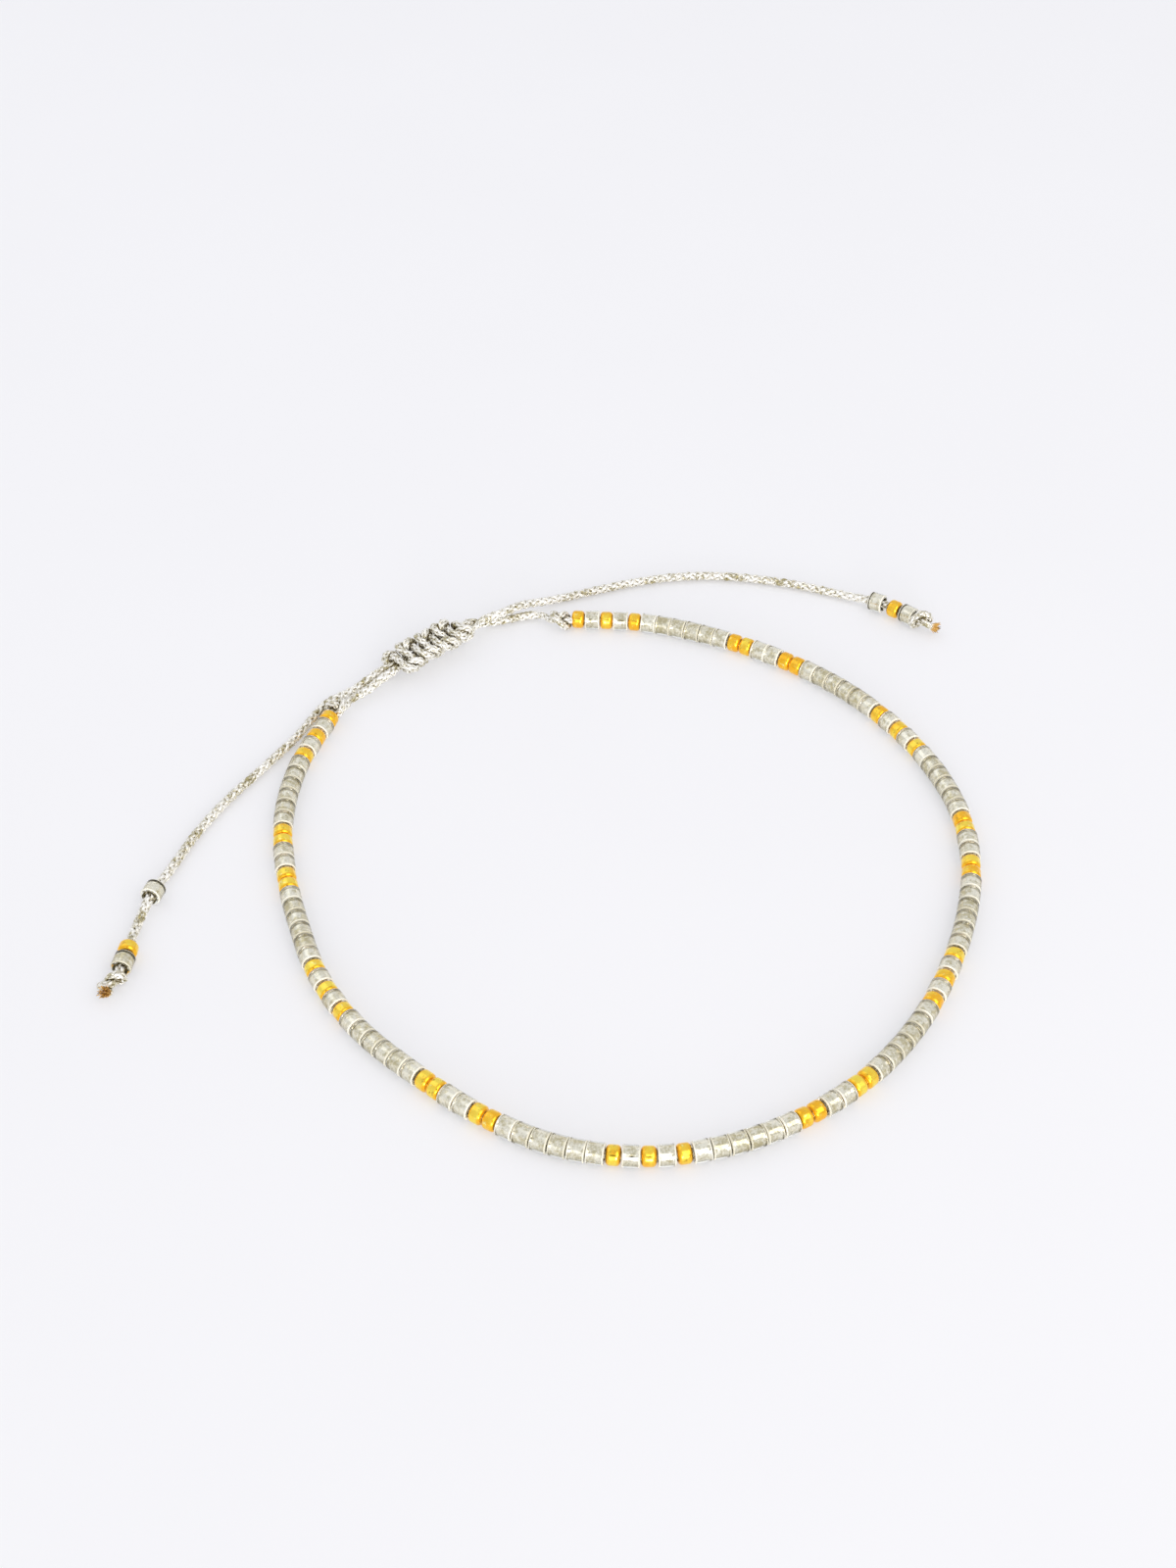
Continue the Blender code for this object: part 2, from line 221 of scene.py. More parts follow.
leftTailRoute = [
    (-20.70, 21.16, 0.60), (-21.40, 20.56, 0.35), (-22.10, 20.02, 0.15), (-22.90, 19.48, 0.02),
    (-23.75, 18.88, 0.0), (-24.55, 18.08, 0.0), (-25.22, 16.91, 0.0), (-25.88, 15.46, 0.0),
    (-26.65, 13.96, 0.0), (-27.92, 11.86, 0.0), (-29.55, 9.36, 0.0), (-31.13, 6.99, 0.0),
    (-32.50, 4.54, 0.0), (-33.62, 2.16, 0.0), (-34.40, 0.06, 0.02), (-35.05, -1.77, 0.10),
    (-35.52, -3.14, 0.30), (-35.92, -4.36, 0.42), (-36.18, -5.39, 0.38), (-36.50, -6.64, 0.18),
    (-36.73, -7.79, 0.14), (-36.86, -9.04, 0.26), (-36.93, -10.24, 0.40), (-37.08, -11.39, 0.42),
    (-37.22, -12.14, 0.42),
]

# Sizes shared by the pieces, mm
beadSet = {
    "silver": {"wide": 1.6, "long": 1.24, "bore": 0.94, "round": 0.10},
    "gold": {"wide": 1.5, "long": 1.05, "bore": 0.86, "round": 0.30},
    "spacing": 0.07,       # between two beads of the row
    "accent": "GSGSG",
    "fill": "SSSSSSGGSSGGSSSSSS",
    "accents": 6,
    "sides": 40,
    "lip": 0.05,           # edge of the bore, as wide as this
    "mouth": 0.11,         # dark edge of the bore of a loose bead: painted shade of the gap round the cord, and tarnish
    "playWide": 0.012,     # how much a bead's width varies
    "playLong": 0.02,      # how much its length varies
    "crowd": 1.015,        # how much longer the beads stand than their mean, so that they all but touch
    "tilt": 1.0,           # degrees that a bead leans on its thread
    "paintedRimHighlight": 0.45,        # painted highlight: how much whiter the rims beside a gold bead are
    "hold": 0.3,           # each way along the cord, the stretch that a loose bead lines up with
}
cordSet = {
    "wide": 0.8,
    "seat": 0.3,           # between pieces that meet end to end
    "under": 0.03,         # under a cord that lies on the surface
    "pairGap": 0.1,        # between the two cords inside the sliding knot
    "into": 0.5,           # how far a cord is drawn into the last bead of the row
    "point": 0.1,          # between the points of a route
    "clear": 0.12,         # from an end knot to the first of those points
    "threadPoint": 0.4,    # between the points of the row's thread
    "tapers": {            # where its width starts and ends to change, from each of its marks
        "seat": (-0.3, 0.9),
        "mouthIn": (-0.2, 0.8),
        "mouthOut": (-0.8, 0.2),
        "knot": (-0.4, 0.3),
    },
}
sliderSet = {
    "centre": (-16.25, 24.46),
    "turn": 41.4,          # degrees
    "long": 9.3,
    "wide": 3.3,
    "thick": 2.45,
    "knots": 4,
    "tied": 7.7,           # length of the knots before they are pulled tight
    "strand": 0.64,        # the tying cord, pulled tight
    "yarn": 0.68,          # the same cord where nothing presses on it
    "core": 0.50,          # each of the two cords where the knots squeeze them
    "notch": 0.45,         # between the second and the third knot
    "rounds": 560,
    "press": 0.0002,       # how hard the knots are pushed together, a share each round
    "point": 0.16,         # between the points of the tying cord
    "slip": -0.2,          # how far the knots sit to the right of the middle
    "sink": 0.01,          # and below it
    "gather": 0.8,         # from the knots to where the two cords start to draw together
    "gatherOver": 1.2,     # and the length that they do it in
    "gatherReach": 0.9,    # a cord further out than this is left as it is
    "lobes": [(-2.8, 1.3, 0.16), (2.3, 1.5, 0.10)],  # where the knots bulge: place, reach and share
}
endKnotSet = {
    "long": 1.7,
    "strand": 0.62,
    "near": 0.30,          # how far the knot sits up against the last bead of the row
    "slack": 6,            # share of the knot's rope, one in this many, that takes up that shift
}
tailKnotSet = {
    "long": 1.7,
    "strand": 0.62,
    "cut": 0.15,           # rope trimmed off past the knot
    "near": {"left": -0.35, "right": 0.40},  # how far the knot sits towards the row
}


class Line:
    # a dense line of points, read by the distance along it
    def __init__(self, points):
        points = np.array([tuple(p) for p in points], float)
        steps = np.linalg.norm(np.diff(points, axis=0), axis=1)
        keep = steps > 1e-9
        self.points = points[np.concatenate([[True], keep])]
        self.reach = np.concatenate([[0.0], np.cumsum(steps[keep])])
        self.length = self.reach[-1]

    def at(self, distance):
        return np.stack([np.interp(distance, self.reach, self.points[:, i]) for i in range(3)], -1)

    def heading(self, distance, step=0.1 * mm):
        ahead = self.at(distance + step) - self.at(distance - step)
        return ahead / np.linalg.norm(ahead)

    def even(self, step, start=0.0, end=None):
        end = self.length if end is None else end
        return self.at(np.linspace(start, end, max(3, int(round((end - start) / step)) + 1)))

    def nearest(self, point):
        return self.reach[np.argmin(np.linalg.norm(self.points - np.array(point), axis=1))]


def endHeading(line, first=False):
    # heading at the last end of a line, or at its first, read from just inside it
    inside = 0.05 * mm
    return line.heading(inside if first else line.length - inside, 0.04 * mm)


def smoothThrough(points, samples=12):
    # Bezier spans through the points, each handle a third of its own span
    points = [Vector(p) for p in points]
    chords = [(far - near).length for near, far in zip(points, points[1:])]
    tangents = []
    for i in range(len(points)):
        before = (points[i] - points[i - 1]) if i > 0 else Vector()
        after = (points[i + 1] - points[i]) if i < len(chords) else Vector()
        if before.length and after.length:
            before = before * (after.length / before.length)
            after = after * (chords[i - 1] / after.length)
        tangents.append((before + after).normalized())
    smooth = [points[0]]
    for i, chord in enumerate(chords):
        near, far = points[i], points[i + 1]
        nearHandle = near + tangents[i] * chord / 3
        farHandle = far - tangents[i + 1] * chord / 3
        smooth.extend(interpolate_bezier(near, nearHandle, farHandle, far, samples + 1)[1:])
    return smooth


def beadKind(letter):
    return beadSet["gold" if letter == "G" else "silver"]


# The row as laid out: its beads, their places along it, and the route scaled to their length
letters = beadSet["fill"].join([beadSet["accent"]] * beadSet["accents"])
beadPlaces = [0.0]
for near, far in zip(letters, letters[1:]):
    pitch = (beadKind(near)["long"] + beadKind(far)["long"]) / 2 + beadSet["spacing"]
    beadPlaces.append(beadPlaces[-1] + pitch * mm)
planLength = Line(smoothThrough([(x * mm, y * mm, 0.0) for x, y in rowRoute])).length
fit = beadPlaces[-1] / planLength
# The solids' beads have ten flats and lie on one
rowHeight = beadSet["silver"]["wide"] * mm / 2 * math.cos(math.pi / 10)
row = Line(smoothThrough([(x * mm * fit, y * mm * fit, rowHeight) for x, y in rowRoute]))


def lifted(points):
    middle = cordSet["wide"] / 2 + cordSet["under"]
    return [Vector((x * fit, y * fit, lift + middle)) * mm for x, y, lift in points]


sliderTurn = math.radians(sliderSet["turn"])
sliderAlong = Vector((math.cos(sliderTurn), math.sin(sliderTurn), 0.0))
sliderOut = Vector((-sliderAlong.y, sliderAlong.x, 0.0))
sliderX, sliderY = sliderSet["centre"]
sliderMiddle = Vector((sliderX * fit, sliderY * fit, sliderSet["thick"] / 2)) * mm


def lane(side):
    # a cord's way through the sliding knot, on its outer side (1) or its inner side (-1)
    middle = sliderMiddle + sliderOut * side * (cordSet["wide"] + cordSet["pairGap"]) / 2 * mm
    return [middle + sliderAlong * sliderSet["long"] * share * mm for share in (-0.5, -0.3, 0.3, 0.5)]


# Rope that is pulled tight

ropeSet = {
    "search": 12,          # rounds between looking for turns that may touch
    "spacing": 60,         # rounds between spacing the points out again
    "skip": 1.6,           # widths along the rope, within which turns never push
    "near": 1.5,           # widths, beyond which turns aren't watched
    "ease": 0.4,           # how far a point moves to the middle of its neighbours
    "yield": 0.32,         # share of an overlap that each side gives way by
    "stride": 0.1,         # widths, the furthest push
    "point": 0.14,         # between the points of a knot drawn 1 wide
}


def tighten(rope, wide, rounds, posts=(), press=0.0):
    # smooths a rope between its fixed ends until its own thickness, or a post's, stops it
    # posts are straight runs (start, end, radius); press pushes the rope's turns together along X
    rope = np.array(rope, float)
    count = len(rope)
    for turn in range(rounds):
        if turn % ropeSet["search"] == 0:
            if turn % ropeSet["spacing"] == 0:
                rope = Line(rope).even(Line(rope).length / (count - 1))[:count]
            space = Line(rope).length / (count - 1)
            skip = int(ropeSet["skip"] * wide / space)
            gap = rope[:, None] - rope[None]
            close = np.linalg.norm(gap, axis=2) < wide * ropeSet["near"]
            first, second = np.nonzero(np.triu(close, skip))
        rope[1:-1] += ropeSet["ease"] * ((rope[:-2] + rope[2:]) / 2 - rope[1:-1])
        rope[:, 0] *= 1 - press
        for repeat in range(2):
            gap = rope[first] - rope[second]
            distance = np.linalg.norm(gap, axis=1)
            push = np.maximum(wide - distance, 0.0) / np.maximum(distance, 1e-9) * ropeSet["yield"]
            shift = gap * push[:, None]
            moved = np.zeros_like(rope)
            np.add.at(moved, first, shift)
            np.add.at(moved, second, -shift)
            size = np.linalg.norm(moved, axis=1)
            moved *= np.minimum(1.0, ropeSet["stride"] * wide / np.maximum(size, 1e-12))[:, None]
            rope[1:-1] += moved[1:-1]
            for start, end, radius in posts:
                ahead = end - start
                along = np.clip(((rope - start) @ ahead) / (ahead @ ahead), 0.0, 1.0)
                out = rope - (start + along[:, None] * ahead)
                away = np.linalg.norm(out, axis=1)
                push = np.maximum(radius + wide / 2 - away, 0.0) / np.maximum(away, 1e-9)
                rope[1:-1] += (out * push[:, None])[1:-1]
    return rope


def overhand(reach):
    # a single overhand knot in a rope 1 wide, along X from -reach to reach
    drawn = [
        (-4.0, 0.0, 0.0), (-1.8, -0.1, -0.3), (-0.2, 0.1, 0.1), (1.0, 0.3, 0.6), (2.0, 1.1, 0.3),
        (1.2, 2.2, -0.3), (-0.4, 1.8, 0.2), (-1.2, 0.2, 0.9), (-0.9, -1.2, 0.2), (0.2, -1.3, -0.5),
        (0.9, -0.2, -0.7), (0.9, 1.2, 0.1), (1.2, 2.3, 0.8), (2.4, 2.2, 0.4), (3.2, 0.8, 0.0),
        (4.0, 0.0, 0.0),
    ]
    rope = Line(smoothThrough(drawn)).even(ropeSet["point"])
    rope[:, 0] *= reach / drawn[-1][0]
    return tighten(rope, 1.0, rounds=1500)


def squareKnots(wanted):
    # square knots tied one after another round the two cords, in mm along X, from one doubled strand
    # each half knot has a strand that crosses in front and one that loops round it and crosses behind
    strand = wanted["strand"]
    core = wanted["core"]
    ties = wanted["knots"] * 2
    step = (wanted["tied"] - wanted["notch"]) / ties
    first = -wanted["tied"] / 2 + step * 0.5
    over = (core + strand) / 2
    side = core + strand / 2
    front, behind = (
        [(first - step * 0.50, 0.0, -over), (first - step * 0.45, way * side * 0.8, -over * 0.8)]
        for way in (1, -1)
    )
    hand = 1
    for k in range(ties):
        x = first + k * step + (wanted["notch"] if k >= ties / 2 else 0.0)
        front += [
            (x - step * 0.40, hand * (side + 0.25), 0.05),
            (x - step * 0.08, hand * side * 0.85, over * 0.75),
            (x, 0.0, over + 0.05),
            (x + step * 0.08, -hand * side * 0.85, over * 0.75),
            (x + step * 0.40, -hand * (side + 0.25), 0.05),
        ]
        behind += [
            (x - step * 0.55, -hand * (side + 0.05), over + strand * 0.9),
            (x - step * 0.05, -hand * (side + 0.30), over * 0.75 + strand),
            (x + step * 0.05, -hand * (side + 0.75), 0.10),
            (x, -hand * side * 0.9, -over - 0.10),
            (x, 0.0, -over - 0.15),
            (x - step * 0.05, hand * side * 0.75, -over),
            (x - step * 0.12, hand * (side - 0.05), 0.0),
            (x - step * 0.05, hand * (side - 0.15), over * 0.75 + strand * 0.9),
        ]
        hand = -hand
    last = first + (ties - 1) * step + wanted["notch"]
    front += [
        (last + step * 0.45, hand * side * 0.9, -over * 0.7),
        (last + step * 0.50, hand * 0.2, -over - 0.1),
    ]
    behind += [
        (last + step * 0.50, -hand * side, over * 0.9),
        (last + step * 0.70, -hand * (side + 0.2), 0.0),
        (last + step * 0.75, -hand * 0.35, -over - 0.1),
    ]
    drawn = behind[:0:-1] + front
    rope = Line(smoothThrough(drawn)).even(wanted["point"])
    reach = wanted["long"] / 2 + 1.0
    posts = []
    for y in (-core / 2, core / 2):
        posts.append((np.array((-reach, y, 0.0)), np.array((reach, y, 0.0)), core / 2))
    return tighten(rope, strand, wanted["rounds"], posts, wanted["press"])


# Meshes

class Pile:
    # gathers faces for one mesh, with a UV for each corner and a tone for each point
    def __init__(self):
        self.points, self.tones, self.faces, self.corners, self.finishes = [], [], [], [], []
        self.count = 0

    def add(self, points, tone, groups, finish=0):
        # groups holds (faces, uv): n faces of m points, and the UV of each of their corners
        self.points.append(np.asarray(points, float).reshape(-1, 3))
        self.tones.append(np.broadcast_to(tone, len(self.points[-1])))
        for faces, uv in groups:
            self.faces.append(np.asarray(faces) + self.count)
            self.corners.append(np.asarray(uv, float).reshape(-1, 2))
            self.finishes.append(np.full(len(faces), finish))
        self.count += len(self.points[-1])

    def lay(self, faces, uv, finish):
        # more faces on the points that were added last
        self.faces.append(faces + self.count - len(self.points[-1]))
        self.corners.append(uv.reshape(-1, 2))
        self.finishes.append(np.full(len(faces), finish))

    def make(self, name, finishes):
        mesh = bpy.data.meshes.new(name)
        points = np.concatenate(self.points)
        sizes = np.concatenate([np.full(len(f), f.shape[1]) for f in self.faces])
        loops = np.concatenate([f.ravel() for f in self.faces])
        mesh.vertices.add(len(points))
        mesh.vertices.foreach_set("co", points.astype(np.float32).ravel())
        mesh.loops.add(len(loops))
        mesh.loops.foreach_set("vertex_index", loops.astype(np.int32))
        mesh.polygons.add(len(sizes))
        starts = np.concatenate([[0], np.cumsum(sizes)[:-1]])
        mesh.polygons.foreach_set("loop_start", starts.astype(np.int32))
        mesh.polygons.foreach_set("material_index", np.concatenate(self.finishes).astype(np.int32))
        mesh.polygons.foreach_set("use_smooth", np.ones(len(sizes), bool))
        corners = mesh.uv_layers.new(name="wrap")
        corners.data.foreach_set("uv", np.concatenate(self.corners).astype(np.float32).ravel())
        tone = mesh.attributes.new("tone", "FLOAT", "POINT")
        tone.data.foreach_set("value", np.concatenate(self.tones).astype(np.float32))
        mesh.update(calc_edges=True)
        mesh.validate()
        for finish in finishes:
            mesh.materials.append(finish)
        return linked(name, mesh)


def ringFaces(rings, sides, along, closed=False):
    # quads between rings of points, with U round the ring and V from along
    i = np.arange(rings if closed else rings - 1)[:, None]
    j = np.arange(sides)[None]
    here, ahead = i * sides, (i + 1) % rings * sides
    nextSide = (j + 1) % sides
    faces = np.stack([here + j, here + nextSide, ahead + nextSide, ahead + j], -1)
    low = np.broadcast_to(along[:-1, None], (len(i), sides))
    high = np.broadcast_to(along[1:, None], (len(i), sides))
    left = np.broadcast_to(j / sides, low.shape)
    right = np.broadcast_to((j + 1) / sides, low.shape)
    corners = ((left, low), (right, low), (right, high), (left, high))
    uv = np.stack([np.stack(corner, -1) for corner in corners], -2)
    return faces.reshape(-1, 4), uv.reshape(-1, 4, 2)


def sweep(pile, middle, across, raised, wide, thick, sides, tone, along, finish=0):
    # a closed strand: an oval of half sizes wide and thick at each point of its middle line
    turn = np.arange(sides) * math.tau / sides
    spread = across[:, None] * (np.cos(turn)[None, :, None] * np.reshape(wide, (-1, 1, 1)))
    spread = spread + raised[:, None] * (np.sin(turn)[None, :, None] * np.reshape(thick, (-1, 1, 1)))
    points = middle[:, None] + spread
    faces, uv = ringFaces(len(middle), sides, along)
    first = np.arange(sides)[None, ::-1]
    last = np.arange(sides)[None] + (len(middle) - 1) * sides
    capUv = np.stack([np.arange(sides) / sides, np.zeros(sides)], -1)
    groups = [(faces, uv), (first, capUv + (0.0, along[0])), (last, capUv + (0.0, along[-1]))]
    pile.add(points, tone, groups, finish)


def unit(vectors):
    return vectors / np.maximum(np.linalg.norm(vectors, axis=-1, keepdims=True), 1e-12)


def carriedFrame(points):
    # headings of a line, and a side direction that is carried along it without twist
    heading = unit(np.gradient(points, axis=0))
    side = np.cross(heading[0], (0.0, 0.0, 1.0))
    if np.linalg.norm(side) < 0.2:
        side = np.cross(heading[0], (0.0, 1.0, 0.0))
    sides = [unit(side)]
    for ahead in heading[1:]:
        side = sides[-1] - ahead * (sides[-1] @ ahead)
        sides.append(side / np.linalg.norm(side))
    sides = np.array(sides)
    return heading, sides, np.cross(heading, sides)


# Braided cord

braidSet = {
    "yarns": 4,            # each way round the cord
    "lay": 3.4,            # mm along the cord for one turn of a yarn
    "yarnWide": 0.30,
    "yarnThick": 0.20,
    "wave": 0.07,          # how far a yarn rises over and dips under the others
    "inside": 0.18,        # radius of the dark filling, nearly black: painted shade seen between the yarns
    "step": 0.09,
    "sides": 8,
    "toneSpread": 0.35,
    "easing": 8,           # rounds that soften the cord's line
    "soften": 9,           # steps over which a change of width is spread
}


class Cord:
    # a braided cord along a line, whose width may change; its pieces share one braid
    def __init__(self, points, widths):
        # widths: pairs of distance along the line and width there, mm
        line = Line(points)
        for repeat in range(braidSet["easing"]):
            eased = line.even(braidSet["step"] * mm)
            eased[1:-1] = (eased[:-2] + eased[2:] + 2 * eased[1:-1]) / 4
            line = Line(eased)
        self.points = line.even(braidSet["step"] * mm)
        self.reach = np.linspace(0.0, line.length, len(self.points))
        places, sizes = zip(*widths)
        self.wide = np.interp(self.reach, places, sizes)
        soften = braidSet["soften"]
        padded = np.pad(self.wide, soften // 2, "edge")
        self.wide = np.convolve(padded, np.ones(soften) / soften, "valid")
        self.heading, self.side, self.up = carriedFrame(self.points)
        self.tones = [random.random() for yarn in range(braidSet["yarns"] * 2)]
        self.length = line.length

    def add(self, pile, start, end):
        # the stretch of the cord between two places along it: yarns of finish 0 round a dark filling of
        # finish 1, painted shade between the yarns
        first = int(np.searchsorted(self.reach, start - 1e-9))
        last = int(np.searchsorted(self.reach, end - 1e-9)) + 1
        part = slice(max(first - 1, 0), last)
        points, side, up = self.points[part], self.side[part], self.up[part]
        reach = self.reach[part]
        size = self.wide[part] / cordSet["wide"]
        yarns = braidSet["yarns"]
        thick = braidSet["yarnThick"] / 2
        middle = cordSet["wide"] / 2 - thick - braidSet["wave"]
        turn = math.tau * reach / mm / braidSet["lay"]
        for way in (1, -1):
            for i in range(yarns):
                angle = way * turn + math.tau * i / yarns
                out = side * np.cos(angle)[:, None] + up * np.sin(angle)[:, None]
                lift = (middle + way * braidSet["wave"] * np.cos(yarns * turn)) * size * mm
                line = points + out * lift[:, None]
                ahead = unit(np.gradient(line, axis=0))
                across = unit(np.cross(out, ahead))
                raised = np.cross(ahead, across)
                tone = 0.5 + (self.tones[i + (yarns if way < 0 else 0)] - 0.5) * braidSet["toneSpread"]
                sweep(pile, line, across, raised, braidSet["yarnWide"] / 2 * size * mm, thick * size * mm,
                      braidSet["sides"], tone, reach / mm)
        # the nearly black filling stands for painted shade seen between the yarns
        fill = braidSet["inside"] * size * mm
        sweep(pile, points, side, up, fill, fill, braidSet["sides"], 0.5, reach / mm, finish=1)

    def between(self, start, end):
        return self.points[(self.reach >= start - 1e-9) & (self.reach <= end + 1e-9)]


def placed(rope, middle, heading, roll, size, mirror=1.0):
    # a knot drawn along X, moved to its place in the bracelet
    heading = Vector(heading).normalized()
    side = heading.cross(Vector((0.0, 0.0, 1.0))).normalized()
    up = side.cross(heading)
    turned = side * math.cos(roll) + up * math.sin(roll)
    raised = heading.cross(turned)
    axes = np.array([heading, turned, raised])
    return np.array(middle) + (rope * (1.0, 1.0, mirror)) @ axes * size


def squeezed(points):
    # draws a cord in towards its pair inside the sliding knot
    local = points - np.array(sliderMiddle)
    along = local @ np.array(sliderAlong) / mm
    out = local @ np.array(sliderOut) / mm
    start = sliderSet["tied"] / 2 + sliderSet["gather"]
    inside = np.clip((start - np.abs(along)) / sliderSet["gatherOver"], 0.0, 1.0)
    inside = inside * inside * (3 - 2 * inside) * (np.abs(out) < sliderSet["gatherReach"])
    goal = np.sign(out) * sliderSet["core"] / 2
    return points + np.outer((goal - out) * inside * mm, np.array(sliderOut))


knotReach = 1.85           # half of the rope in a knot drawn 1 wide, as it stands along the cord
unitKnot = overhand(knotReach)
print("bracelet: knots tied")


def braceletCord(rowEnd, outwards, closure, way, tail, near, rolls, mirrors):
    # one cord from inside the row's last bead to its frayed tip; returns it with the places along it
    endReach = endKnotSet["long"] / 2 * mm + cordSet["seat"] * mm
    middle = Vector(rowEnd) + Vector(outwards) * endReach
    heading = (closure[0] - middle).normalized()
    start = middle + heading * endReach
    firstKnot = placed(unitKnot, middle, heading, rolls[0], endReach / knotReach, mirrors[0])
    held = np.clip((1 - np.linspace(0, 1, len(firstKnot))) * endKnotSet["slack"], 0, 1)
    firstKnot -= np.outer(held, heading) * endKnotSet["near"] * mm
    route = squeezed(np.array([tuple(p) for p in smoothThrough([start] + closure + way + tail)]))
    free = Line(route)
    tailReach = tailKnotSet["strand"] * knotReach * mm
    ahead = Vector(endHeading(free))
    past = (tailKnotSet["long"] / 2 - near) * mm
    tailMiddle = Vector(free.at(free.length)) + ahead * past
    lastKnot = placed(unitKnot, tailMiddle, ahead, rolls[1], tailKnotSet["strand"] * mm, mirrors[1])
    lastKnot = Line(lastKnot).even(0.08 * mm, 0.0, Line(lastKnot).length - tailKnotSet["cut"] * mm)
    for knot, strand in ((firstKnot, endKnotSet["strand"]), (lastKnot, tailKnotSet["strand"])):
        knot[:, 2] = np.maximum(knot[:, 2], (strand / 2 + cordSet["under"]) * mm)
    short = free.length - (tailReach - past)
    inBead = [Vector(rowEnd) - Vector(outwards) * cordSet["into"] * mm]
    between = free.even(cordSet["point"] * mm, cordSet["clear"] * mm, short)[:-1]
    pathPoints = np.concatenate([np.array(inBead), firstKnot, between, lastKnot])
    line = Line(pathPoints)
    marks = {
        "row": 0.0,
        "seat": line.nearest(start),
        "mouthIn": line.nearest(way[0]),
        "mouthOut": line.nearest(way[-1]),
        "knot": line.nearest(lastKnot[0]),
        "end": line.length,
    }
    marks["beads"] = marks["knot"] + tailReach - past
    wide, core = cordSet["wide"], sliderSet["core"]
    width = endKnotSet["strand"]
    widths = [(0.0, width)]
    changes = {"seat": wide, "mouthIn": core, "mouthOut": wide, "knot": tailKnotSet["strand"]}
    for name, new in changes.items():
        before, after = cordSet["tapers"][name]
        widths += [(marks[name] + before * mm, width), (marks[name] + after * mm, new)]
        width = new
    widths.append((marks["end"], width))
    cord = Cord(pathPoints, widths)
    ratio = cord.length / line.length
    return cord, {name: place * ratio for name, place in marks.items()}


halfBead = beadKind(letters[0])["long"] / 2 * mm
startHeading, finishHeading = endHeading(row, first=True), endHeading(row)
rowStart = row.at(0.0) - startHeading * halfBead
rowFinish = row.at(row.length) + finishHeading * halfBead
leftCord, leftMarks = braceletCord(
    rowStart, -startHeading, lifted(leftClosureRoute), lane(-1), lifted(rightTailRoute),
    tailKnotSet["near"]["right"], rolls=(0.4, 1.2), mirrors=(1, 1))
rightCord, rightMarks = braceletCord(
    rowFinish, finishHeading, lifted(rightClosureRoute), lane(1)[::-1], lifted(leftTailRoute),
    tailKnotSet["near"]["left"], rolls=(2.6, -0.6), mirrors=(-1, 1))
print("bracelet: cords laid,", round(leftCord.length / mm), "and", round(rightCord.length / mm), "mm")


# Finishes

colourSet = {
    "yarn": [(0.38, 0.33, 0.16), (1.0, 0.985, 0.93)],
    # painted shade in the grooves between filaments
    "betweenYarns": (0.34, 0.28, 0.10),
    # painted shade deep in the braid's creases
    "paintedCreaseShadeColour": (0.30, 0.22, 0.03),
    "paintedShadeFilling": [(0.05, 0.04, 0.01), (0.16, 0.13, 0.05)],
    "thread": [(0.62, 0.56, 0.38), (0.95, 0.90, 0.74)],
    "glass": (0.97, 0.98, 0.93),
    "silver": [(0.60, 0.53, 0.33), (0.98, 0.94, 0.83)],
    "rim": [(0.99, 0.94, 0.76), (1.0, 0.98, 0.88)],
    "dullRim": (0.78, 0.73, 0.56),
    "gold": [(1.0, 0.50, 0.008), (1.0, 0.78, 0.08)],
    "goldDark": (0.62, 0.38, 0.02),
    "goldBright": (1.0, 0.88, 0.30),
    "goldPaintedEndShade": (1.0, 0.52, 0.01),
    "goldPaintedRimShade": (0.66, 0.32, 0.02),
    "singed": [(0.95, 0.88, 0.66), (0.72, 0.42, 0.10)],
    "burnt": (0.08, 0.03, 0.01),
}


def yarnFinish():
    # metallised flat yarn: fine twisted filaments, brighter and duller lengths, with painted shade in the
    # grooves between filaments and deep in creases
    shade = Shade("metallicYarn")
    place = shade.place()
    turns = shade.wrap(0) * 3 + shade.wrap(1) * 3.2
    ridge = turns.sum("PINGPONG", turns, 0.5) * 2
    patch = shade.noise(place, 700, 2, 0.5)
    fleck = shade.noise(place, 3200, 2, 0.6)
    light = shade.tone() * 0.4 + patch * 0.4 + fleck * 0.7 - 0.25
    colour = shade.blend(shade.smooth(light, 0.27, 0.54), *colourSet["yarn"])
    # painted shade: darker olive in the grooves between the twisted filaments
    colour = shade.blend(shade.smooth(ridge, 0.0, 0.35, 0.45, 0.0), colour, colourSet["betweenYarns"])
    # painted shade: the yarn darkens to olive deep in the creases among the strands
    clear = shade.paintedCreaseShade(0.5 * mm, 0.12, 0.66)
    colour = shade.blend(clear, colourSet["paintedCreaseShadeColour"], colour)
    return shade.set(
        Base_Color=colour, Metallic=1.0 - clear * 0.4,
        Roughness=shade.smooth(fleck, 0.35, 0.65, 0.2, 0.42),
        Normal=shade.bump(ridge + fleck * 0.6, 0.7, 0.00002),
    )


def threadFinish(name, colours):
    # plain thread, along the row of beads, and the braid's inner filling, coloured nearly black as painted
    # shade between the yarns
    shade = Shade(name)
    patch = shade.noise(shade.place(), 1500, 2)
    return shade.set(Base_Color=shade.blend(patch, *colours), Roughness=0.8,
                     Normal=shade.bump(patch, 0.3, 0.00002))


def glassFinish():
    shade = Shade("clearGlass")
    patch = shade.noise(shade.place(), 1200, 2)
    return shade.set(Base_Color=(*colourSet["glass"], 1.0), Roughness=0.03, IOR=1.5,
                     Transmission_Weight=1.0, Normal=shade.bump(patch, 0.15, 0.00001))


